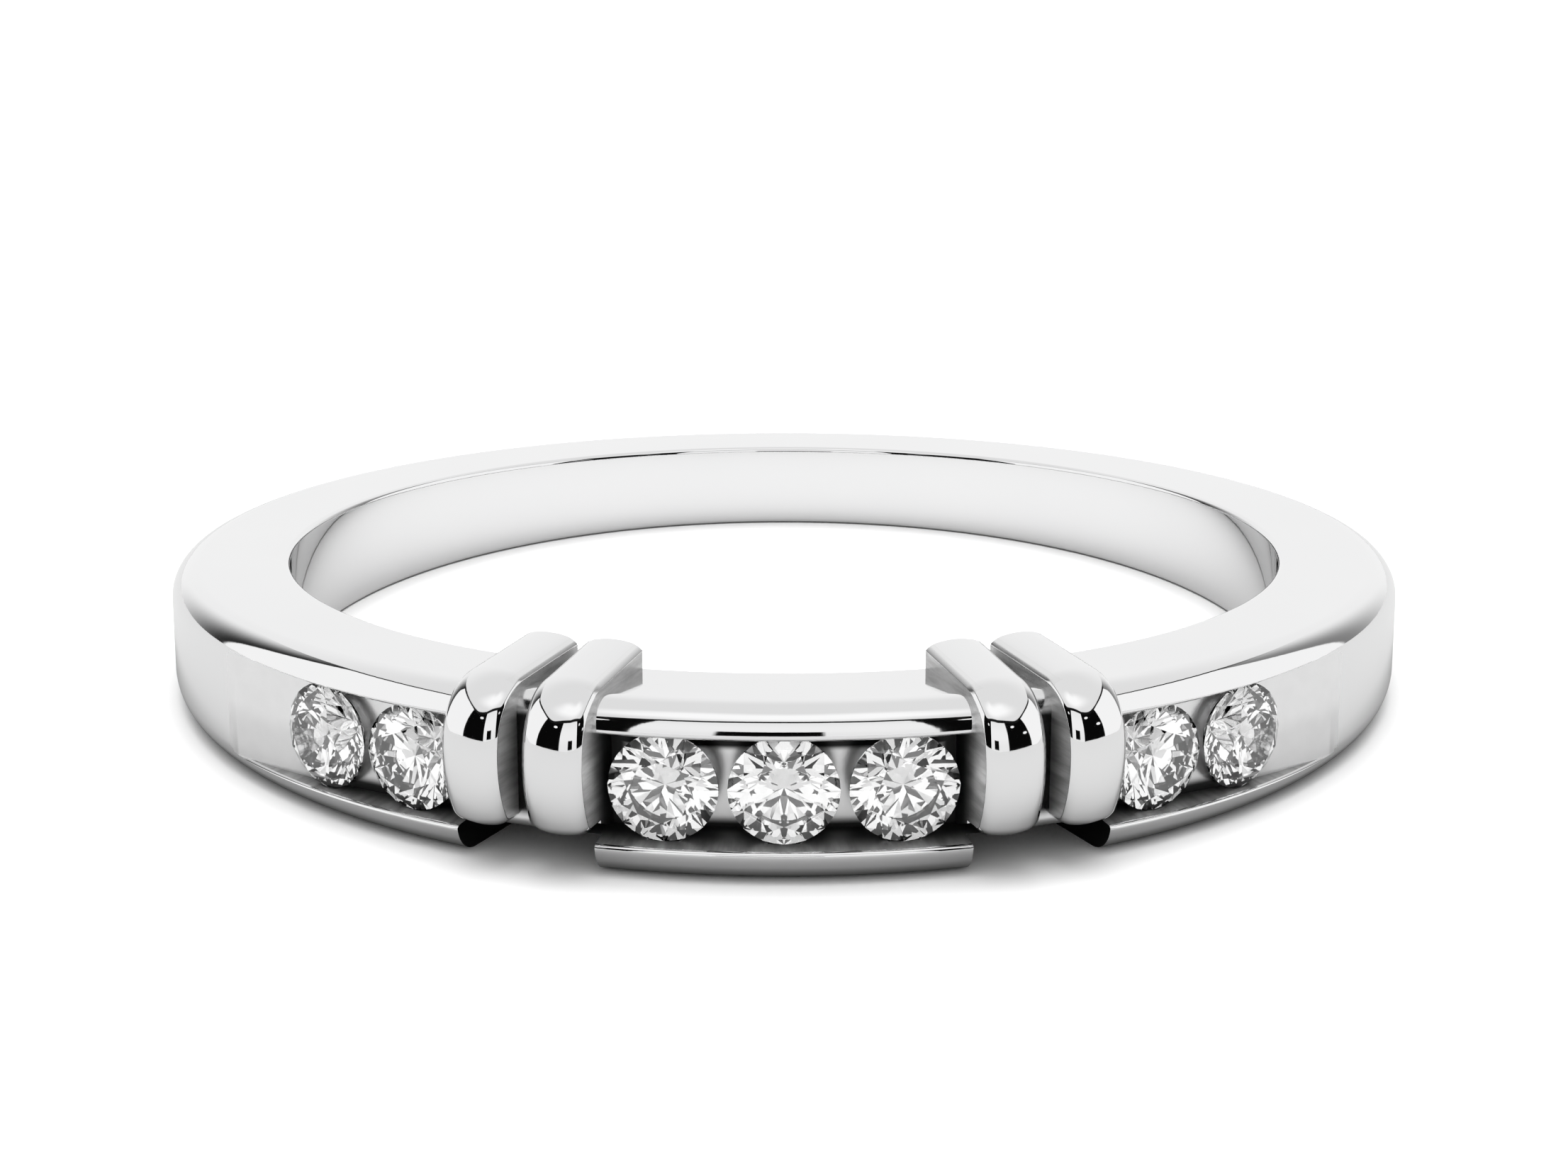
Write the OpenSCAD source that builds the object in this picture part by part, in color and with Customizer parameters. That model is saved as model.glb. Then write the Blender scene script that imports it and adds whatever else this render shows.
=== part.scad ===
// Bar set band: a ring of white metal with three channels of round brilliants and two pairs of bars.
// It lies on its side as it would on a table: the finger hole stands up, the stones face the front, -Y.
// The origin is the middle of the finger hole.

/* [Band] */
// Radius of the finger hole
hole_r = 8.65; // [8.2:0.05:9.4]
// Thickness of the metal, from the hole to the outer wall
wall_t = 2.02; // [1.96:0.01:2.1]
// Width of the band at the wall of the hole, at the front
front_width = 2.62; // [2.5:0.01:2.8]
// Width of the band at the wall of the hole, at the back
back_width = 1.58; // [1.4:0.01:1.8]
// Radius of the two outer corners of the band
corner_r = 0.5; // [0.4:0.01:0.55]

/* [Channels] */
// Half the height of a channel at its lip
lip_half = 0.865; // [0.85:0.005:0.9]
// Half the height of a channel at the girdle of the middle stone
girdle_half = 0.81; // [0.79:0.005:0.82]
// Depth of the middle channel under its lip
channel_depth = 0.82; // [0.7:0.01:0.9]
// Angle from the front at which the side channels run out
run_out = 59; // [56:0.5:62]
// Angle from the front where the centre rail ends under the inner bar
rail_start = 15.2; // [15.1:0.05:15.4]
// Angle from the front where the side rail starts under the outer bar
rail_end = 27.35; // [27.25:0.05:27.6]
// Radius of the neck that shows between two bars
neck_r = 10.48; // [10.3:0.01:10.55]

/* [Bars] */
// Width of a bar
bar_w = 0.947; // [0.92:0.001:0.96]
// Angle from the front to the inner bar, at its face
bar_angle = 17.9; // [17.8:0.02:18]
// Angle between the two bars of a pair
bar_pitch = 6.94; // [6.88:0.02:7]
// Distance by which the line of a bar passes the middle of the hole
bar_skew = 0.273; // [0.25:0.001:0.3]
// Distance from the middle of the hole to the face of a bar, where its shoulder ends
bar_face = 11.16; // [11.1:0.01:11.2]
// Height of the shoulder of a bar over the middle of the band
bar_top = 1.595; // [1.55:0.005:1.65]
// Height by which a bar is crowned across its width
bar_crown = 0.125; // [0.08:0.005:0.14]

/* [Stones] */
// Diameter of a stone at its girdle
stone_d = 1.667; // [1.6:0.001:1.7]
// Radius of the arc on which the stones stand
stone_arc_r = 10.91; // [10.88:0.01:10.94]
// Distance from the middle of the hole to the middle of that arc
stone_arc_shift = 0.6; // [0.57:0.01:0.63]
// Angles of the stones on that arc, from the left to the right
stone_angles = [-40.43, -31, -9.39, 0, 9.39, 31, 40.43];
// Clearance between a stone and its seat
seat_gap = 0.02; // [0.01:0.005:0.03]

/* [Hidden] */
$fn = 144;
metal = [0.86, 0.86, 0.87];
crystal = [0.93, 0.96, 1];
big = 30;

// Shank: the two faces lean by the taper, so that the band is wider at the front
outer_r = hole_r + wall_t;
taper = atan((front_width - back_width) / (4 * hole_r));
half_w = (front_width + back_width) / 4 * cos(taper);
corner_steps = 5;
blank_half = 1.5;

// Channels: the floor is an arc that meets the outer wall at the run-out
floor_front = outer_r - channel_depth;
floor_shift = (pow(outer_r, 2) - pow(floor_front, 2)) / (2 * (floor_front - outer_r * cos(run_out)));
floor_r = floor_front + floor_shift;
girdle_r = stone_arc_r - stone_arc_shift;
flare = (lip_half - girdle_half) / (outer_r - girdle_r);
centre_cut = rail_start + 1.6;
side_cut = rail_end - 2.4;
cut_end = 75;
cut_inner_r = 9;
cut_outer_r = 12;

// Neck and notch: the rails stop short of each other, and the lower one leaves a sloped notch
neck_round = 0.34;
neck_crown_z = 1.02;
neck_start = rail_start + 0.4;
neck_end = rail_end - 0.35;
notch_round = 0.18;
notch_z = -0.8;
notch_slope = 19.3;
notch_inner_r = 8.6;

// Bars: a top that falls outwards, a round shoulder, a long bowed face and a turned-in foot
bar_fall = 4.4;
top_length = 2.4;
top_depth = 0.5;
shoulder_r = 1;
shoulder_end = 10;
face_r = 2.13;
face_end = -27;
face_depth = 1.4;
foot_r = 0.28;
foot_length = 0.35;
shoulder = [bar_face - shoulder_r, bar_top - shoulder_r];
face = shoulder + (shoulder_r - face_r) * [cos(shoulder_end), sin(shoulder_end)];
foot = face + (face_r - foot_r) * [cos(face_end), sin(face_end)];

// The block inside a bar, which joins its strap to the neck
block_back = 9.5;
block_front = 10.6;
block_top = 1.1;
block_foot = -1;

// Stones: the proportions of a round brilliant, as parts of its radius
table_part = 0.57;
crown_angle = 34.5;
pavilion_angle = 40.75;
girdle_part = 0.06;
star_part = 0.5;
lower_part = 0.77;
eighth = 45;
sixteenth = eighth / 2;

// A section turned round the finger hole, between two angles from the front
module turned(from, to) {
    rotate([0, 0, from - 90]) rotate_extrude(angle = to - from) children();
}

// Points along an arc round a centre, between two angles
function arc(centre, r, from, to, parts) =
    [for (i = [0:parts]) let (a = from + (to - from) * i / parts) centre + r * [cos(a), sin(a)]];

// What is cut away above the band: all over its upper face, which leans, and round its outer corner
module face_cut() {
    inner = hole_r - 1;
    outer = outer_r + 1;
    low = half_w - corner_r;
    rotate([-taper, 0, 0]) rotate_extrude() polygon(concat(
        [[inner, half_w + 1], [inner, half_w]],
        arc([outer_r - corner_r, low], corner_r, 90, 0, corner_steps),
        [[outer, low - 0.3], [outer, half_w + 1]]));
}

// The space of a channel between two angles: flared walls over an arched floor
module channel(from, to) {
    inner_half = girdle_half - flare * (girdle_r - cut_inner_r);
    outer_half = girdle_half + flare * (cut_outer_r - girdle_r);
    difference() {
        turned(from, to) polygon([
            [cut_inner_r, -inner_half], [cut_outer_r, -outer_half],
            [cut_outer_r, outer_half], [cut_inner_r, inner_half]]);
        translate([0, floor_shift, -2]) cylinder(r = floor_r, h = 4);
    }
}

// What is cut away round the upper half of a neck, down to its rounded top edge
module neck_cut(from, to) {
    crown_x = neck_r - neck_round;
    turned(from, to) difference() {
        translate([crown_x, 0]) square(3);
        square([neck_r, neck_crown_z]);
        translate([crown_x, neck_crown_z]) circle(neck_round);
    }
}

// What is cut away round the lower half of a neck: its rounded foot and the sloped notch below it
module notch_cut(from, to) {
    foot_x = neck_r - notch_round;
    foot_z = notch_z + notch_round;
    turned(from, to) difference() {
        translate([notch_inner_r, -3]) square([4, 3.2]);
        translate([0, foot_z]) square([neck_r, 3]);
        translate([foot_x, foot_z]) circle(notch_round);
        translate([foot_x, foot_z]) rotate(notch_slope) translate([-4, -notch_round]) square([4, 3]);
    }
}

// The section of a bar: x is the distance from the axis of a bend, y runs across the bar
module bar_section(r, depth) {
    crown_r = (pow(bar_w / 2, 2) + pow(bar_crown, 2)) / (2 * bar_crown);
    intersection() {
        translate([r - depth, -bar_w / 2]) square([depth, bar_w]);
        translate([r - crown_r, 0]) circle(crown_r);
    }
}

// A stretch of a bar that bends about a centre, between two angles over the horizontal
module bar_bend(centre, r, from, to, depth) {
    translate([0, -centre[0], centre[1]]) rotate([90, 0, -90]) rotate([0, 0, from])
        rotate_extrude(angle = to - from) bar_section(r, depth);
}

// A straight stretch of a bar that runs back from the end of a bend
module bar_run(centre, r, at, length, depth) {
    translate([0, -centre[0], centre[1]]) rotate([90, 0, -90]) rotate([0, 0, at - 90])
        rotate([90, 0, 90]) translate([0, 0, -length]) linear_extrude(length) bar_section(r, depth);
}

// One bar along -Y, from the hole over the top, down the front and in under the neck
module bar() {
    bar_run(shoulder, shoulder_r, 90 - bar_fall, top_length, top_depth);
    bar_bend(shoulder, shoulder_r, shoulder_end, 90 - bar_fall, shoulder_r);
    bar_bend(face, face_r, face_end, shoulder_end, face_depth);
    bar_bend(foot, foot_r, -90, face_end, foot_r);
    translate([0, -foot[0], foot[1]]) rotate([90, 0, -90]) rotate([0, 0, 180])
        rotate([90, 0, 90]) linear_extrude(foot_length) bar_section(foot_r, foot_r);
    translate([-bar_w / 2, 0, 0]) rotate([90, 0, 90]) linear_extrude(bar_w) polygon([
        [-block_back, block_top], [-block_front, block_top], [-block_front, foot[1] - 0.09],
        [-neck_r + 0.1, foot[1] - 0.12], [-block_back, block_foot]]);
}

// The four bars, a pair on each side
module bars() {
    for (side = [-1, 1], turn = [bar_angle, bar_angle + bar_pitch])
        rotate([0, 0, side * (turn + asin(bar_skew / bar_face))])
            translate([-side * bar_skew, 0, 0]) bar();
}

// A stone's place: its girdle's middle stands on the stone arc and its table faces outwards
module at_stone(angle) {
    translate([stone_arc_r * sin(angle), stone_arc_shift - stone_arc_r * cos(angle), 0])
        rotate([90, 0, angle]) children();
}

// The seat that is cut for a stone: the stone's own double cone, with clearance
module seat() {
    r = stone_d / 2 + seat_gap;
    girdle = stone_d / 2 * girdle_part / 2 + seat_gap / 2;
    rotate_extrude() polygon([
        [0, -girdle - r * tan(pavilion_angle)],
        [r, -girdle],
        [r, girdle],
        [0, girdle + r * tan(crown_angle)]]);
}

module band() {
    color(metal) rotate([-taper, 0, 0]) difference() {
        union() {
            difference() {
                rotate_extrude() translate([hole_r - 0.5, -blank_half])
                    square([wall_t + 0.5, 2 * blank_half]);
                face_cut();
                rotate([0, 180, 0]) face_cut();
                channel(-centre_cut, centre_cut);
                channel(side_cut, cut_end);
                channel(-cut_end, -side_cut);
                neck_cut(neck_start, neck_end);
                neck_cut(-neck_end, -neck_start);
                notch_cut(rail_start, rail_end);
                notch_cut(-rail_end, -rail_start);
            }
            bars();
        }
        translate([0, 0, -big / 2]) cylinder(r = hole_r, h = big);
        for (angle = stone_angles) at_stone(angle) seat();
    }
}

// A corner of the stone at an angle, a part of the radius and a height
function corner(a, part, z) = [part * cos(a), part * sin(a), z];

// The height at a point of the plane through three corners
function plane_z(p, q, s, x, y) =
    let (n = cross(q - p, s - p)) p[2] - (n[0] * (x - p[0]) + n[1] * (y - p[1])) / n[2];

// A round brilliant of radius 1: the middle of its girdle is the origin and its table faces +Z
module brilliant() {
    half = girdle_part / 2;
    crown_h = (1 - table_part) * tan(crown_angle);
    mid_part = star_part + (1 - star_part) * table_part * cos(sixteenth);
    mid_z = half + crown_h - (mid_part * cos(sixteenth) - table_part) * tan(crown_angle);
    low_part = 1 - lower_part;
    low_z = -half - (1 - low_part * cos(sixteenth)) * tan(pavilion_angle);
    step = sixteenth / 2;
    dip = plane_z(corner(0, 1, half), corner(sixteenth, 1, half), corner(sixteenth, mid_part, mid_z),
        cos(step), sin(step));
    rise = plane_z(corner(0, 1, -half), corner(sixteenth, 1, -half), corner(sixteenth, low_part, low_z),
        cos(step), sin(step));
    table = [for (i = [0:7]) corner(i * eighth, table_part, half + crown_h)];
    mids = [for (i = [0:7]) corner((i + 0.5) * eighth, mid_part, mid_z)];
    upper = [for (i = [0:31]) corner(i * step, 1, i % 2 == 0 ? half : dip)];
    lower = [for (i = [0:31]) corner(i * step, 1, i % 2 == 0 ? -half : rise)];
    lows = [for (i = [0:7]) corner((i + 0.5) * eighth, low_part, low_z)];
    culet = [0, 0, -half - tan(pavilion_angle)];
    m = 8;
    u = 16;
    l = 48;
    w = 80;
    c = 88;
    polyhedron(concat(table, mids, upper, lower, lows, [culet]), concat(
        [[for (i = [7:-1:0]) i]],
        [for (i = [0:7]) [i, (i + 1) % 8, m + i]],
        [for (i = [0:7]) [i, m + i, u + 4 * i, m + (i + 7) % 8]],
        [for (i = [0:7]) [m + i, u + 4 * i + 2, u + 4 * i + 1, u + 4 * i]],
        [for (i = [0:7]) [m + i, u + (4 * i + 4) % 32, u + 4 * i + 3, u + 4 * i + 2]],
        [for (i = [0:31]) [u + i, u + (i + 1) % 32, l + (i + 1) % 32, l + i]],
        [for (i = [0:7]) [w + i, l + 4 * i, l + 4 * i + 1, l + 4 * i + 2]],
        [for (i = [0:7]) [w + i, l + 4 * i + 2, l + 4 * i + 3, l + (4 * i + 4) % 32]],
        [for (i = [0:7]) [c, w + (i + 7) % 8, l + 4 * i, w + i]]));
}

module stone(index) {
    color(crystal) rotate([-taper, 0, 0]) at_stone(stone_angles[index - 1])
        scale(stone_d / 2) brilliant();
}

band();
stone(1);  // stone_1
stone(2);  // stone_2
stone(3);  // stone_3
stone(4);  // stone_4
stone(5);  // stone_5
stone(6);  // stone_6
stone(7);  // stone_7
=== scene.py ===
"""A bar set band in white metal, lying on its side: three channels of round brilliants and two pairs of bars.

The ring is built round the middle of its finger hole, in millimetres, with its front at -Y and its middle
plane level. It is then laid on its lower face, as the CAD model lies: tilted by its taper about X and brought
to metres. A turn is an angle in degrees from the front towards +X, a reach is a distance from the hole's
axis, and a height is over the middle plane. A bend is the reach and height of its centre, and its radius.
"""
from math import asin, atan, atan2, cos, degrees, pi, radians, sin, sqrt, tan

import bmesh
import bpy
from mathutils import Matrix, Vector


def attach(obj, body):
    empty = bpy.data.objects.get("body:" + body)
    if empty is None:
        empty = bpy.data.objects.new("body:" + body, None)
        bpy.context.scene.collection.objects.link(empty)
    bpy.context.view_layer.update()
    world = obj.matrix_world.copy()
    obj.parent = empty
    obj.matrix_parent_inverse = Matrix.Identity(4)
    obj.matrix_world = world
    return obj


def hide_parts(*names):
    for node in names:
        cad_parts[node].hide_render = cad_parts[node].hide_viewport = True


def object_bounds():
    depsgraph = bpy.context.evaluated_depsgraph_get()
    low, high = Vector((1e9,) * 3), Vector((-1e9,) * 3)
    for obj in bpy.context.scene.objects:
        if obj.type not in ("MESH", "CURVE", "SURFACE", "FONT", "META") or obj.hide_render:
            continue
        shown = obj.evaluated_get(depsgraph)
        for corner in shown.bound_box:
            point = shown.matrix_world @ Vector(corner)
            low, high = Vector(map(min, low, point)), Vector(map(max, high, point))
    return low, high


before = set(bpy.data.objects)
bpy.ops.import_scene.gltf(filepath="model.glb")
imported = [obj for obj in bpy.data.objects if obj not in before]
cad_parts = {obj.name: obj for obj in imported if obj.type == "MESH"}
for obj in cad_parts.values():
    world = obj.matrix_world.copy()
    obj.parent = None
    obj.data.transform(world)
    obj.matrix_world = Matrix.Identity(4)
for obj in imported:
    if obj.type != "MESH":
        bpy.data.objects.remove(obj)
cad_box = [[float(c) for c in corner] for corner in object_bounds()]

# Band, in millimetres
HOLE_R, OUTER_R = 8.65, 10.67
HALF_WIDTH = 1.05                       # halfway between the front and the back
TAPER_SLOPE = 0.0301                    # how much each face leans, so that the band is wider at the front
CORNER_R, CORNER_STEPS = 0.5, 24
INNER_EDGE_R, INNER_EDGE_STEPS = 0.09, 8
MARGIN = 0.03                           # a narrow strip beside each rounded edge, which keeps the face flat
TURN_STEPS = 720
LAY = Matrix.Scale(0.001, 4) @ Matrix.Rotation(-atan(TAPER_SLOPE), 4, "X")

# Channels: flared walls with rounded lips, over a floor that is an arch of its own
LIP_HALF = 0.865                        # half the width at the outer face
GIRDLE_HALF, GIRDLE_R = 0.81, 10.31     # half the width where the stones are widest, and the reach there
FLARE = (LIP_HALF - GIRDLE_HALF) / (OUTER_R - GIRDLE_R)
LIP_ROUND, LIP_STEPS = 0.07, 6
FLOOR_FRONT = 9.85                      # the floor's reach at the front
RUN_OUT = radians(56)                   # where the floor comes out through the outer face
# The floor's arch has its middle behind the hole's axis, by the shift that lets it pass through both places
FLOOR_SHIFT = (OUTER_R ** 2 - FLOOR_FRONT ** 2) / (2 * (FLOOR_FRONT - OUTER_R * cos(RUN_OUT)))
FLOOR_R = FLOOR_FRONT + FLOOR_SHIFT
LIP_OVER_FLOOR = 0.001                  # a lip's least distance from the floor
CENTRE_END = 17.0                       # turns at which the channels end
SIDE_START, SIDE_END = 26.0, 75.0
CHANNELS = ((-CENTRE_END, CENTRE_END), (SIDE_START, SIDE_END), (-SIDE_END, -SIDE_START))
CHANNEL_OUT = 12.0                      # how far the cutter reaches
STEPS_PER_DEGREE = 2

# Necks: between two turns the rails end under each pair of bars, and the lower one is cut away
UPPER_CUT, LOWER_CUT = (15.6, 27.0), (15.2, 27.35)
NECK_R = 10.48
NECK_TOP, NECK_TOP_STEPS = (NECK_R - 0.34, 1.02, 0.34), 12
NECK_FOOT, NECK_FOOT_STEPS = (NECK_R - 0.18, -0.62, 0.18), 8
NOTCH_SLOPE = radians(19.3)
CUT_IN, CUT_OUT, CUT_TOP, CUT_BOTTOM = 8.3, 12.8, 2.4, -3.0     # how far the cutters reach
CUT_OVERLAP = 0.05
CUT_STEPS_PER_DEGREE = 4

# Bars
BAR_HALF = 0.947 / 2
BAR_TURNS = (19.30, 26.24)
BAR_SKEW = 0.273                                    # how far a bar stands beside the radius at its turn
CROWN_R, CROWN_REACH, CROWN_STEPS = 1.26, 0.28, 6   # the middle of a bar's width is nearly flat
CROWN_EDGE_R, CROWN_EDGE_STEPS = 0.37, 9            # and it rounds off more tightly towards its edges
BAR_EDGE_R, BAR_EDGE_STEPS = 0.025, 5
BAR_FALL = 4.4                                      # how much its top falls towards the outside, in degrees
SHOULDER, SHOULDER_END, SHOULDER_STEPS = (10.16, 0.595, 1.0), 10.0, 56
FACE, FACE_END, FACE_STEPS = (9.047, 0.399, 2.13), -27.0, 38
FOOT, FOOT_END, FOOT_STEPS = (10.695, -0.441, 0.28), -90, 16
BAR_OVERLAP = 0.35                                  # how far a bar runs on into the hole and under the neck
BLOCK_FRONT, BLOCK_FOOT, BLOCK_TOP, BLOCK_R = -0.62, -0.95, 1.1, 9.5    # the hidden part inside the band
HOLE_GAP, HOLE_CUT = 0.002, (-4, 4)                 # bars end this far behind the hole's wall

# Stones: places on an arc of their own, and the seats that are cut for them
STONE_R = 1.667 / 2
STONE_ARC_R, STONE_ARC_SHIFT = 10.91, 0.6
STONE_TURNS = (-40.43, -31, -9.39, 0, 9.39, 31, 40.43)
STONE_CROWN, STONE_PAVILION = radians(34.5), radians(40.75)
SEAT_GAP, SEAT_EDGE_HALF, SEAT_TIP_R, SEAT_STEPS = 0.02, 0.035, 0.02, 96

# Finishes, and the shade that is painted into some of them. A grain is a noise's scale, the lowest and
# highest value that it gives, and its detail. A fade says where it starts and ends, and a window where it
# starts, where it ends and how soft its ends are.
SHARP_ANGLE = radians(32)
NOISE_SPREAD = (0.3, 0.7)               # the part of a noise's own values that a grain follows
POLISH_TONES, POLISH_SCALE = ((0.80, 0.80, 0.805, 1), (0.84, 0.84, 0.84, 1)), 260.0
POLISH_WIPES, WIPES_SPREAD = (900.0, 0.025, 0.05, 4.0), (0.35, 0.7)
RELIEF_STRENGTH, RELIEF_HEIGHT, RELIEF_SCALE = 0.02, 0.00002, 5000.0        # its height in metres
HAIR_TURN, HAIR_REACH = 0.18, 0.1       # tool marks: as fine along the band as in height, long in reach
BELOW = -9                              # a height under everything
BRUSHED_TONE, BRUSHED_STREAK = (7.0, 0.4, 0.64), (45.0, -0.03, 0.03, 3.0)
BRUSHED_ROUGH, BRUSHED_METALLIC = (30.0, 0.31, 0.34), 0.55
# Painted shade on the brushed walls: darker towards the channels' floors, within the lips' heights
CHANNEL_SHADE_TONE, CHANNEL_SHADE_REACH, CHANNEL_SHADE_HEIGHT = 0.03, (10.15, 10.95), (-0.95, 0.95, 0.05)
# Painted shading on the channels' floors: darker at their foot than over it
SATIN_TONE, SATIN_HEIGHT = (0.74, 0.83), (-0.3, 0.1)            # at its foot and over it
SATIN_CLOUD, SATIN_ROUGH = (3.0, -0.01, 0.01), (10.0, 0.28, 0.3)
# Painted shade on the channels' floors: dark at their foot, at their head and at the middle channel's ends
SATIN_SHADE = 0.02                      # the tone of the floor's dark places: its foot, its head and its ends
SATIN_FOOT, SATIN_FOOT_SIDE = (BELOW, -0.62, 0.08), (40, 48)
SATIN_HEAD, SATIN_HEAD_SIDE = (0.44, 0.54), (20, 30)
SATIN_ENDS = (13.4, 20, 0.8)
# Painted shade: the necks and the ends of the rails and channels are darkened in their colour for the shade
# in these recesses, the necks only within a window of heights
PAINTED_SHADE_TONE, UNSHADED_TONE, PAINTED_SHADE_ROUGH = 0.02, 0.8, (12.0, 0.12, 0.2)
NECK_SHADE_HEIGHTS, ENDS_SHADE_HEIGHTS = (-0.55, 1.05, 0.08), (BELOW, 1.05, 0.08)
CRYSTAL_IOR, CRYSTAL_MARKS, CRYSTAL_SPREAD = 2.42, (4000.0, 0.0, 0.012), (0.4, 0.8)
POLISHED, BRUSHED, SATIN, NECK, ENDS = range(5)                 # the order of the band's materials
# How a face is recognised: how far off it may be, and how nearly it has to face a direction, 1 being exactly
CLOSE, CLOSE_TURN, NEAR_TURN = 0.01, 0.06, 0.1
FACES_RAIL_END, FACES_CHANNEL_END, FACES_WALL, FACES_BAR_SIDE, FACES_UP = 0.95, 0.99, 0.97, 0.999, 0.9
LOWER_RAIL_TOP, WALL_FOOT = -0.5, FLOOR_FRONT - 0.15

# Studio, by direction: turns, and rises over the horizon in degrees. The tent is as high as 1.
TENT_SIDE, TENT_FRONT = 0.87, 0.81      # how far off its side and front walls are
TENT_SQUARE = 8.0                       # how sharp the corner between them is
TENT_NEAREST = 0.01
ROOF_LIGHT, PANEL_LIGHT, BACK_LIGHT = 0.88, 1.16, 1.0
PANEL_TURN, PANEL_RISE = (-60, 60, 24), (56, 78, 7)
BACK_SIDE, BACK_RISE = (90, 150), (25, 60)
BOX_LIGHT, BOX_RISE = (0.97, 1.03), (12, 36, 8)
BLACK = 0.003
FLAG_SIDE = (27, 60, 0.4)
SIDE_LIGHT, SIDE_WALL, SIDE_WALL_END = 1.08, (60, 121, 0.4), (120, 122)
REAR_LEFT, REAR_RIGHT, REAR_FADE = 0.03, 0.25, (122, 156)
HOOD_TURN, HOOD_RISE = (-12, 7, 0.5), (1, 15.5, 0.5)            # the dark shape of the camera
LAMPS, LAMP_HALF_TURN, LAMP_HALF_RISE = ((-38, 35), (38, 35), (54, 21)), 3.2, 1.9
LAMP_LIGHT, LAMP_EDGE = 1.1, (0.7, 1.3)
ROOF_START = (0.95, 0.97)               # the height at which the walls go over into the roof
SEAM_LIGHT, SEAM_HEIGHT, SEAM_HALF, SEAM_SIDE = 0.01, 0.955, (0.085, 0.03), (25, 75)
SEAM_EDGE, SEAM_END = (0.75, 1.25), (120, 145)

# Light on the paper and in the stones
OVERHEAD = (0, cos(radians(78)), sin(radians(78)))
OVERHEAD_LIGHT, OVERHEAD_FOCUS, FILL_LIGHT = 5.0, 8.0, 0.9
STONE_GAIN, STONE_FILL = 1.15, 0.1
PAPER_HALF = 0.6                        # in metres
PAPER_TONE, PAPER_ROUGH = 0.93, 0.9
MIRRORED_HOLE, MIRRORED_OUTSIDE = 0.6, 0.48                     # the paper's tone where metal mirrors it
# Painted shadow in the mirrored paper: its tone round the rim, and where round the rim it falls
RIM_SHADOW_TONE, RIM = 0.12, (OUTER_R - 0.3, OUTER_R + 0.2, 0.9)

# Camera, in metres and degrees
CAMERA_PLACE, CAMERA_DOWN = (0, -0.05415, 0.01701), 17.22
CAMERA_SENSOR, CAMERA_LENS = 36.0, 73.24                        # in millimetres
CAMERA_NEAR, CAMERA_FAR = 0.001, 10.0


def polar(r, turn, z):
    """A point at a reach and a turn."""
    t = radians(turn)
    return (r * sin(t), -r * cos(t), z)


def arc(bend, start, end, steps):
    """Points along a bend between two angles over the horizontal: the reach, height and angle of each."""
    r, z, size = bend
    angles = [radians(start + (end - start) * i / steps) for i in range(steps + 1)]
    return [(r + size * cos(a), z + size * sin(a), a) for a in angles]


def curve(bend, start, end, steps):
    """The same points without their angles."""
    return [(r, z) for r, z, _ in arc(bend, start, end, steps)]


def solid(name, rings, closed=False):
    """A closed mesh through a row of like outlines, joined round or capped at both ends."""
    n = len(rings[0])
    points = [p for ring in rings for p in ring]
    spans = len(rings) if closed else len(rings) - 1
    faces = []
    for i in range(spans):
        a, b = i * n, (i + 1) % len(rings) * n
        faces += [(a + j, a + (j + 1) % n, b + (j + 1) % n, b + j) for j in range(n)]
    if not closed:
        faces += [tuple(range(n)), tuple(len(points) - 1 - j for j in range(n))]
    mesh = bpy.data.meshes.new(name)
    mesh.from_pydata(points, [], faces)
    work = bmesh.new()
    work.from_mesh(mesh)
    bmesh.ops.recalc_face_normals(work, faces=work.faces)
    work.to_mesh(mesh)
    work.free()
    obj = bpy.data.objects.new(name, mesh)
    bpy.context.scene.collection.objects.link(obj)
    return obj


def mirrored(outline, turn):
    """A ring of points at one turn: the outline, and back along its mirror image below the middle plane."""
    return [polar(r, turn, z) for r, z in outline] + [polar(r, turn, -z) for r, z in reversed(outline)]


def boolean(target, tool, operation):
    """Joins the tool to the target or cuts it out, and removes the tool."""
    step = target.modifiers.new("step", "BOOLEAN")
    step.operation, step.solver, step.object = operation, "MANIFOLD", tool
    done = bpy.data.meshes.new_from_object(target.evaluated_get(bpy.context.evaluated_depsgraph_get()))
    target.modifiers.clear()
    target.data = done
    bpy.data.objects.remove(tool)


def blank():
    """The band before anything is cut: flat leaning faces and rounded edges."""
    inner, outer = HOLE_R + INNER_EDGE_R, OUTER_R - CORNER_R
    upper = curve((inner, -INNER_EDGE_R, INNER_EDGE_R), 180, 90, INNER_EDGE_STEPS)
    upper += [(inner + MARGIN, 0), (outer - MARGIN, 0)]
    upper += curve((outer, -CORNER_R, CORNER_R), 90, 0, CORNER_STEPS)
    rings = []
    for i in range(TURN_STEPS):
        t = 360 * i / TURN_STEPS
        rings.append(mirrored([(r, HALF_WIDTH + TAPER_SLOPE * r * cos(radians(t)) + z) for r, z in upper], t))
    return solid("band_metal", rings, closed=True)


def channel(start, end):
    """The space of a channel between two turns: flared walls over an arched floor."""
    def half(r):
        return GIRDLE_HALF + FLARE * (r - GIRDLE_R)
    rings = []
    steps = round((end - start) * STEPS_PER_DEGREE)
    for i in range(steps + 1):
        t = start + (end - start) * i / steps
        floor = sqrt(FLOOR_R ** 2 - (FLOOR_SHIFT * sin(radians(t))) ** 2) - FLOOR_SHIFT * cos(radians(t))
        edge = max(OUTER_R - LIP_ROUND, floor + LIP_OVER_FLOOR)
        lip = half(edge) + LIP_ROUND
        side = [(floor, half(floor))] + curve((edge, lip, LIP_ROUND), -90, 0, LIP_STEPS)
        rings.append(mirrored(side + [(CHANNEL_OUT, lip)], t))
    return solid("channel", rings)


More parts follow.
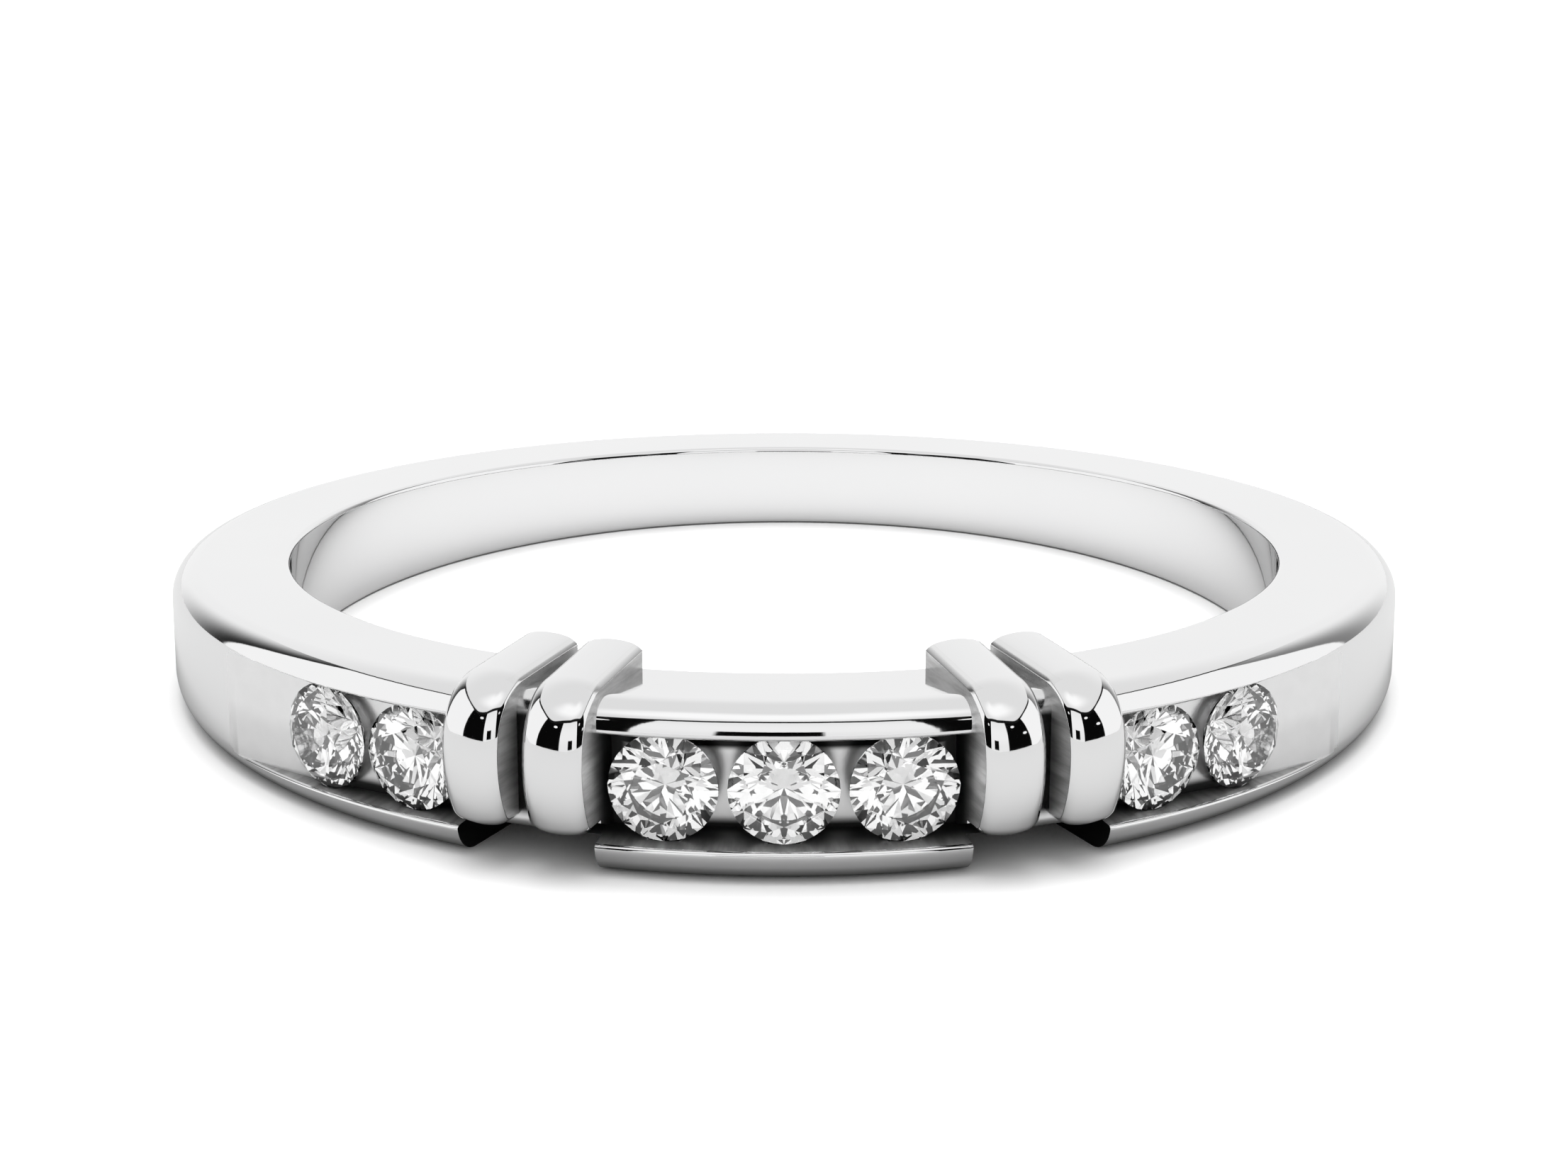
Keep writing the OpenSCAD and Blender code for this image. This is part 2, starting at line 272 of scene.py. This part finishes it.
def ring_cut(outline, start, end):
    """A cutter with one outline between two turns."""
    steps = round(abs(end - start) * CUT_STEPS_PER_DEGREE)
    return solid("cut", [[polar(r, start + (end - start) * i / steps, z) for r, z in outline]
                         for i in range(steps + 1)])


def neck_cuts(side):
    """What is cut away between the rails: above the neck's middle, and below it down to the notch."""
    foot = curve(NECK_FOOT, -90 + degrees(NOTCH_SLOPE), 0, NECK_FOOT_STEPS)
    foot_r, foot_z = foot[0]
    notch_z = foot_z - (foot_r - CUT_IN) * tan(NOTCH_SLOPE)
    upper = [(NECK_R, 0)] + curve(NECK_TOP, 0, 90, NECK_TOP_STEPS)
    upper += [(NECK_TOP[0], CUT_TOP), (CUT_OUT, CUT_TOP), (CUT_OUT, 0)]
    lower = [(CUT_OUT, CUT_OVERLAP), (CUT_OUT, CUT_BOTTOM), (CUT_IN, CUT_BOTTOM), (CUT_IN, notch_z)]
    lower += foot + [(NECK_R, CUT_OVERLAP)]
    return [ring_cut(upper, side * UPPER_CUT[0], side * UPPER_CUT[1]),
            ring_cut(lower, side * LOWER_CUT[0], side * LOWER_CUT[1])]


def crown():
    """The rounded outline across a bar: how far each point is beside its middle, and its height over it."""
    lean = asin(CROWN_REACH / CROWN_R)
    middle_u = CROWN_REACH - CROWN_EDGE_R * sin(lean)
    middle_drop = (CROWN_R - CROWN_EDGE_R) * cos(lean) - CROWN_R
    last = asin((BAR_HALF - BAR_EDGE_R - middle_u) / (CROWN_EDGE_R - BAR_EDGE_R))
    edge_u, edge_drop = BAR_HALF - BAR_EDGE_R, middle_drop + (CROWN_EDGE_R - BAR_EDGE_R) * cos(last)
    angles = [lean * i / CROWN_STEPS for i in range(CROWN_STEPS)]
    half = [(CROWN_R * sin(a), CROWN_R * (cos(a) - 1)) for a in angles]
    half += [(middle_u + u, middle_drop + drop) for drop, u in
             curve((0, 0, CROWN_EDGE_R), degrees(lean), degrees(last), CROWN_EDGE_STEPS)]
    half += [(edge_u + u, edge_drop + drop) for drop, u in
             curve((0, 0, BAR_EDGE_R), degrees(last), 90, BAR_EDGE_STEPS)[1:]]
    return [(-u, drop) for u, drop in reversed(half[1:])] + half


def bar(side, turn):
    """One bar: a crowned strap from the hole over the top, down the front and in under the neck."""
    fall = 90 - BAR_FALL
    inner_r, foot_r = HOLE_R - BAR_OVERLAP, FOOT[0] - BAR_OVERLAP
    path = arc(SHOULDER, fall, SHOULDER_END, SHOULDER_STEPS)
    path += arc(FACE, SHOULDER_END, FACE_END, FACE_STEPS)[1:] + arc(FOOT, FACE_END, FOOT_END, FOOT_STEPS)[1:]
    top_z = path[0][1] + (path[0][0] - inner_r) * tan(radians(BAR_FALL))
    path = [(inner_r, top_z, radians(fall))] + path + [(foot_r, path[-1][1], radians(FOOT_END))]
    block = [(foot_r, BLOCK_FRONT), (BLOCK_R, BLOCK_FOOT), (BLOCK_R, BLOCK_TOP), (inner_r, BLOCK_TOP)]

    spot = Matrix.Rotation(radians(side * turn), 4, "Z") @ Matrix.Translation((-side * BAR_SKEW, 0, 0))
    rings = []
    for u, drop in crown():
        outline = [(r + drop * cos(a), z + drop * sin(a)) for r, z, a in path] + block
        rings.append([spot @ Vector((u, -r, z)) for r, z in outline])
    strap = solid("bar", rings)
    turns = [360 * i / TURN_STEPS for i in range(TURN_STEPS)]
    hole = solid("hole", [[polar(HOLE_R + HOLE_GAP, t, z) for t in turns] for z in HOLE_CUT])
    boolean(strap, hole, "DIFFERENCE")
    return strap


def seat(turn):
    """The seat that is cut for a stone, whose table faces outwards: its double cone, with clearance."""
    r, half, tip = STONE_R + SEAT_GAP, SEAT_EDGE_HALF, SEAT_TIP_R
    rows = [(tip, -half - (r - tip) * tan(STONE_PAVILION)), (r, -half), (r, half),
            (tip, half + (r - tip) * tan(STONE_CROWN))]
    t = radians(turn)
    spot = (Matrix.Translation((STONE_ARC_R * sin(t), STONE_ARC_SHIFT - STONE_ARC_R * cos(t), 0))
            @ Matrix.Rotation(t, 4, "Z") @ Matrix.Rotation(pi / 2, 4, "X"))
    angles = [2 * pi * i / SEAT_STEPS for i in range(SEAT_STEPS)]
    return solid("seat", [[spot @ Vector((size * cos(a), size * sin(a), z)) for a in angles]
                          for size, z in rows])


def band():
    """The whole casting: shank, rails, necks and bars."""
    casting = blank()
    for start, end in CHANNELS:
        boolean(casting, channel(start, end), "DIFFERENCE")
    for side in (-1, 1):
        for tool in neck_cuts(side):
            boolean(casting, tool, "DIFFERENCE")
        for turn in BAR_TURNS:
            boolean(casting, bar(side, turn), "UNION")
    for turn in STONE_TURNS:
        boolean(casting, seat(turn), "DIFFERENCE")
    return casting


class Nodes:
    """Short ways to add nodes to a material or to the world."""
    def __init__(self, owner):
        owner.use_nodes = True
        self.owner, self.tree = owner, owner.node_tree
        self.tree.nodes.clear()

    def add(self, kind, inputs=(), **settings):
        """A node, with each input linked to a socket or set to a value."""
        node = self.tree.nodes.new(kind)
        for name, value in settings.items():
            setattr(node, name, value)
        for name, value in dict(inputs).items():
            if isinstance(value, bpy.types.NodeSocket):
                self.tree.links.new(value, node.inputs[name])
            else:
                node.inputs[name].default_value = value
        return node

    def math(self, operation, *values):
        return self.add("ShaderNodeMath", enumerate(values), operation=operation).outputs[0]

    def mix(self, under, over, share):
        return self.add("ShaderNodeMix", {0: share, 2: under, 3: over}).outputs[0]

    def ramp(self, value, low, high, to_low=0.0, to_high=1.0):
        """A smooth step of a value between two numbers."""
        return self.add("ShaderNodeMapRange", {"Value": value, "From Min": low, "From Max": high,
                        "To Min": to_low, "To Max": to_high}, interpolation_type="SMOOTHSTEP").outputs[0]

    def window(self, value, low, high, soft):
        """1 between two numbers and 0 outside them, with soft ends."""
        return self.math("SUBTRACT", self.ramp(value, low - soft, low + soft),
                         self.ramp(value, high - soft, high + soft))

    def noise(self, vector, scale, detail=2.0):
        return self.add("ShaderNodeTexNoise", {"Vector": vector, "Scale": scale, "Detail": detail}).outputs[0]

    def grain(self, vector, scale, low, high, detail=2.0, spread=NOISE_SPREAD):
        """Noise between two numbers."""
        return self.ramp(self.noise(vector, scale, detail), *spread, low, high)

    def grey(self, value):
        return self.add("ShaderNodeCombineColor", {i: value for i in range(3)}).outputs[0]

    def position(self):
        return self.add("ShaderNodeTexCoord").outputs["Object"]

    def place(self):
        """A point's turn, and its reach and its height in millimetres."""
        x, y, z = self.add("ShaderNodeSeparateXYZ", {0: self.position()}).outputs
        turn = self.math("DEGREES", self.math("ARCTAN2", x, self.math("MULTIPLY", y, -1.0)))
        reach = self.math("SQRT", self.math("ADD", self.math("MULTIPLY", x, x), self.math("MULTIPLY", y, y)))
        height = self.math("ADD", z, self.math("MULTIPLY", y, TAPER_SLOPE))
        return turn, self.math("MULTIPLY", reach, 1000.0), self.math("MULTIPLY", height, 1000.0)

    def direction(self):
        """In the world: the direction that is looked in."""
        return self.add("ShaderNodeTexCoord").outputs["Generated"]

    def surface(self, **inputs):
        """Ends a material with its shader, and returns the material."""
        named = {name.replace("_", " "): value for name, value in inputs.items()}
        shader = self.add("ShaderNodeBsdfPrincipled", named)
        self.add("ShaderNodeOutputMaterial", {"Surface": shader.outputs[0]})
        return self.owner


def polished():
    """White metal with a mirror polish: faint wipe marks and a trace of unevenness."""
    n = Nodes(bpy.data.materials.new("polished_metal"))
    spot = n.position()
    tone = n.add("ShaderNodeMix", {"Factor": n.noise(spot, POLISH_SCALE), 6: POLISH_TONES[0],
                 7: POLISH_TONES[1]}, data_type="RGBA").outputs[2]
    relief = n.add("ShaderNodeBump", {"Strength": RELIEF_STRENGTH, "Distance": RELIEF_HEIGHT,
                   "Height": n.noise(spot, RELIEF_SCALE)})
    wipes = n.grain(spot, *POLISH_WIPES, spread=WIPES_SPREAD)
    return n.surface(Base_Color=tone, Metallic=1.0, Roughness=wipes, Normal=relief.outputs[0])


def worked(name, tone, rough, metallic=1.0):
    """Metal with tool marks. Its tone comes from a function, and its roughness is a grain."""
    n = Nodes(bpy.data.materials.new(name))
    turn, reach, height = n.place()
    hair = n.add("ShaderNodeCombineXYZ", {0: n.math("MULTIPLY", turn, HAIR_TURN),
                 1: n.math("MULTIPLY", reach, HAIR_REACH), 2: height}).outputs[0]
    return n.surface(Base_Color=n.grey(tone(n, turn, reach, height, hair)), Metallic=metallic,
                     Roughness=n.grain(hair, *rough))


def brushed():
    """Fine tool marks, on the walls of the channels and the sides of the bars, darkened towards a channel's
    floor by painted shade.
    """
    def tone(n, turn, reach, height, hair):
        marks = n.math("ADD", n.grain(hair, *BRUSHED_TONE), n.grain(hair, *BRUSHED_STREAK))
        channel_shade = n.math("MULTIPLY", n.ramp(reach, *CHANNEL_SHADE_REACH, 1, 0), n.window(height, *CHANNEL_SHADE_HEIGHT))
        return n.mix(marks, CHANNEL_SHADE_TONE, channel_shade)
    return worked("brushed_metal", tone, BRUSHED_ROUGH, BRUSHED_METALLIC)


def satin():
    """The channels' floors: dull, with painted shading that darkens them towards their foot, and painted
    shade at their foot, at their head and at the middle one's ends.
    """
    def tone(n, turn, reach, height, hair):
        side = n.math("ABSOLUTE", turn)
        # painted shade at the floor's foot, head and ends
        foot = n.math("MULTIPLY", n.window(height, *SATIN_FOOT), n.ramp(side, *SATIN_FOOT_SIDE, 1, 0))
        head = n.math("MULTIPLY", n.ramp(height, *SATIN_HEAD), n.ramp(side, *SATIN_HEAD_SIDE, 1, 0))
        shade = n.math("MAXIMUM", n.math("MAXIMUM", foot, head), n.window(side, *SATIN_ENDS))
        # painted shading: darker towards the foot
        plain = n.math("ADD", n.ramp(height, *SATIN_HEIGHT, *SATIN_TONE), n.grain(hair, *SATIN_CLOUD))
        return n.mix(plain, SATIN_SHADE, shade)
    return worked("satin_metal", tone, SATIN_ROUGH)


def painted_shade(name, heights):
    """Painted shade in recesses: the metal's colour is darkened in a window of heights, for the shade that
    falls there.
    """
    def tone(n, turn, reach, height, hair):
        return n.mix(UNSHADED_TONE, PAINTED_SHADE_TONE, n.window(height, *heights))
    return worked(name, tone, PAINTED_SHADE_ROUGH)


def crystal():
    """A clear, strongly refracting stone, with polishing marks that hardly show."""
    n = Nodes(bpy.data.materials.new("crystal"))
    marks = n.grain(n.position(), *CRYSTAL_MARKS, spread=CRYSTAL_SPREAD)
    return n.surface(Base_Color=(1, 1, 1, 1), Roughness=marks, IOR=CRYSTAL_IOR, Transmission_Weight=1.0)


def on_bar_side(centre, normal):
    """Whether a face belongs to a flat side of a bar."""
    for side in (-1, 1):
        for turn in BAR_TURNS:
            a = radians(side * turn)
            across = Vector((cos(a), sin(a), 0))
            beside = abs(centre.dot(across) + side * BAR_SKEW)
            if abs(normal.dot(across)) > FACES_BAR_SIDE and abs(beside - BAR_HALF) < CLOSE:
                return True
    return False


def face_material(centre, normal):
    """The material of a face of the band before it is laid down: one of the finishes, or painted shade on a
    neck or an end.
    """
    reach, turn = sqrt(centre.x ** 2 + centre.y ** 2), abs(degrees(atan2(centre.x, -centre.y)))
    along = abs(normal.x * centre.y - normal.y * centre.x) / reach      # how nearly it faces along the band
    in_channel = abs(centre.z) < LIP_HALF
    off_floor = abs(sqrt(centre.x ** 2 + (centre.y - FLOOR_SHIFT) ** 2) - FLOOR_R)

    def at(turns):
        return min(abs(turn - end) for end in turns) < CLOSE_TURN

    if turn > SIDE_END:
        return POLISHED
    # The ends of the lower rails and of the channels get painted shade.
    if along > FACES_RAIL_END and centre.z < LOWER_RAIL_TOP and at(LOWER_CUT):
        return ENDS
    if along > FACES_CHANNEL_END and in_channel and at((CENTRE_END, SIDE_START)):
        return ENDS
    if abs(normal.z) > FACES_WALL and in_channel and WALL_FOOT < reach < OUTER_R - LIP_ROUND:
        return BRUSHED
    if on_bar_side(centre, normal):
        return BRUSHED
    if off_floor < CLOSE and in_channel:
        return SATIN
    # The necks get painted shade.
    if (LOWER_CUT[0] - NEAR_TURN < turn < LOWER_CUT[1] + NEAR_TURN and abs(normal.z) < FACES_UP
            and HOLE_R + INNER_EDGE_R + CLOSE < reach < NECK_R + CLOSE):
        return NECK
    return POLISHED


def dress(metal):
    """Gives the band its finishes and its painted shade, smooths its curved faces and lays it down."""
    mesh = metal.data
    mesh.materials.clear()
    # the last two materials are painted shade, for the necks and for the ends
    for mat in (polished(), brushed(), satin(), painted_shade("painted_shade_neck", NECK_SHADE_HEIGHTS),
                painted_shade("painted_shade_ends", ENDS_SHADE_HEIGHTS)):
        mesh.materials.append(mat)
    for face in mesh.polygons:
        face.material_index = face_material(face.center, face.normal)
        face.use_smooth = True
    mesh.set_sharp_from_angle(angle=SHARP_ANGLE)
    mesh.transform(LAY)
    weigh = metal.modifiers.new("weigh", "WEIGHTED_NORMAL")
    weigh.keep_sharp, weigh.weight = True, 100
    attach(metal, "root")
    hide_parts("band")


def tent(n):
    """The brightness of the studio by direction: a white tent with black flags beside the front light."""
    x, y, z = n.add("ShaderNodeSeparateXYZ", {0: n.direction()}).outputs
    front = n.math("MULTIPLY", y, -1.0)
    turn = n.math("DEGREES", n.math("ARCTAN2", x, front))
    side = n.math("ABSOLUTE", turn)
    rise = n.math("DEGREES", n.math("ARCSINE", z))
    walls = [n.math("POWER", n.math("DIVIDE", n.math("MAXIMUM", out, 0.0), far), TENT_SQUARE)
             for out, far in ((n.math("ABSOLUTE", x), TENT_SIDE), (front, TENT_FRONT))]
    distance = n.math("POWER", n.math("ADD", *walls), 1 / TENT_SQUARE)
    height = n.math("DIVIDE", z, n.math("MAXIMUM", distance, TENT_NEAREST))

    panel = n.math("MULTIPLY", n.window(side, *PANEL_TURN), n.window(rise, *PANEL_RISE))
    back = n.math("MULTIPLY", n.ramp(side, *BACK_SIDE), n.ramp(rise, *BACK_RISE, 1, 0))
    roof = n.mix(n.mix(ROOF_LIGHT, PANEL_LIGHT, panel), BACK_LIGHT, back)

    box = n.mix(*BOX_LIGHT, n.window(rise, *BOX_RISE))
    rear = n.mix(n.mix(REAR_LEFT, REAR_RIGHT, n.ramp(turn, -1, 1)), BACK_LIGHT, n.ramp(side, *REAR_FADE))
    wall = n.mix(box, BLACK, n.window(side, *FLAG_SIDE))
    wall = n.mix(wall, SIDE_LIGHT, n.window(side, *SIDE_WALL))
    wall = n.mix(wall, rear, n.ramp(side, *SIDE_WALL_END))
    wall = n.mix(wall, BLACK, n.math("MULTIPLY", n.window(turn, *HOOD_TURN), n.window(rise, *HOOD_RISE)))
    for lamp_turn, lamp_rise in LAMPS:
        away = [n.math("POWER", n.math("DIVIDE", n.math("SUBTRACT", angle, middle), half), 2.0)
                for angle, middle, half in ((turn, lamp_turn, LAMP_HALF_TURN),
                                            (rise, lamp_rise, LAMP_HALF_RISE))]
        wall = n.mix(wall, LAMP_LIGHT, n.ramp(n.math("ADD", *away), *LAMP_EDGE, 1, 0))

    light = n.mix(wall, roof, n.ramp(height, *ROOF_START))
    off = n.math("ABSOLUTE", n.math("SUBTRACT", height, SEAM_HEIGHT))
    seam = n.ramp(n.math("DIVIDE", off, n.ramp(side, *SEAM_SIDE, *SEAM_HALF)), *SEAM_EDGE, 1, 0)
    return n.mix(light, SEAM_LIGHT, n.math("MULTIPLY", seam, n.ramp(side, *SEAM_END, 1, 0)))


def studio():
    """The light all round the ring, by direction. Paper, metal, stones and the camera each see their own."""
    world = bpy.data.worlds.new("studio")
    world.cycles.sampling_method = "NONE"       # so that what each of them sees is kept apart
    bpy.context.scene.world = world
    n = Nodes(world)
    path = n.add("ShaderNodeLightPath").outputs
    toward = n.add("ShaderNodeVectorMath", {0: n.direction(), 1: OVERHEAD}, operation="DOT_PRODUCT")
    beam = n.math("POWER", n.math("MAXIMUM", toward.outputs["Value"], 0.0), OVERHEAD_FOCUS)
    on_paper = n.math("ADD", n.math("MULTIPLY", beam, OVERHEAD_LIGHT), FILL_LIGHT)
    on_metal = tent(n)
    in_stone = n.math("ADD", n.math("MULTIPLY", on_metal, STONE_GAIN), STONE_FILL)
    light = n.mix(on_metal, in_stone, path["Is Transmission Ray"])
    light = n.mix(light, on_paper, path["Is Diffuse Ray"])
    light = n.mix(light, 1.0, path["Is Camera Ray"])
    background = n.add("ShaderNodeBackground", {"Color": (1, 1, 1, 1), "Strength": light})
    n.add("ShaderNodeOutputWorld", {"Surface": background.outputs[0]})


def paper():
    """The plain pale floor, which metal mirrors darker than the camera sees it, with a painted shadow round
    the rim that only reflections show.
    """
    n = Nodes(bpy.data.materials.new("paper"))
    reach = n.place()[1]
    # painted shadow: the mirrored tone is darkened round the rim
    mirrored_tone = n.mix(n.ramp(reach, HOLE_R, OUTER_R, MIRRORED_HOLE, MIRRORED_OUTSIDE), RIM_SHADOW_TONE,
                          n.window(reach, *RIM))
    white = n.mix(PAPER_TONE, mirrored_tone, n.add("ShaderNodeLightPath").outputs["Is Glossy Ray"])
    mat = n.surface(Base_Color=n.grey(white), Roughness=PAPER_ROUGH)

    mesh = bpy.data.meshes.new("floor")
    signs = ((-1, -1), (1, -1), (1, 1), (-1, 1))
    corners = [(PAPER_HALF * x, PAPER_HALF * y, cad_box[0][2]) for x, y in signs]
    mesh.from_pydata(corners, [], [(0, 1, 2, 3)])
    floor = bpy.data.objects.new("floor", mesh)
    bpy.context.scene.collection.objects.link(floor)
    mesh.materials.append(mat)


def camera():
    """The photograph's view, down on the ring from the front."""
    lens = bpy.data.cameras.new("camera")
    lens.sensor_width, lens.lens = CAMERA_SENSOR, CAMERA_LENS
    lens.clip_start, lens.clip_end = CAMERA_NEAR, CAMERA_FAR
    eye = bpy.data.objects.new("camera", lens)
    eye.location = CAMERA_PLACE
    eye.rotation_euler = (radians(90 - CAMERA_DOWN), 0, 0)
    bpy.context.scene.collection.objects.link(eye)
    bpy.context.scene.camera = eye


dress(band())
clear = crystal()
for name in (f"stone_{i}" for i in range(1, len(STONE_TURNS) + 1)):
    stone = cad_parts[name]
    stone.data.materials.clear()
    stone.data.materials.append(clear)
studio()
paper()
camera()
bpy.context.scene.view_settings.view_transform = "Standard"
bpy.context.scene.cycles.caustics_reflective = False
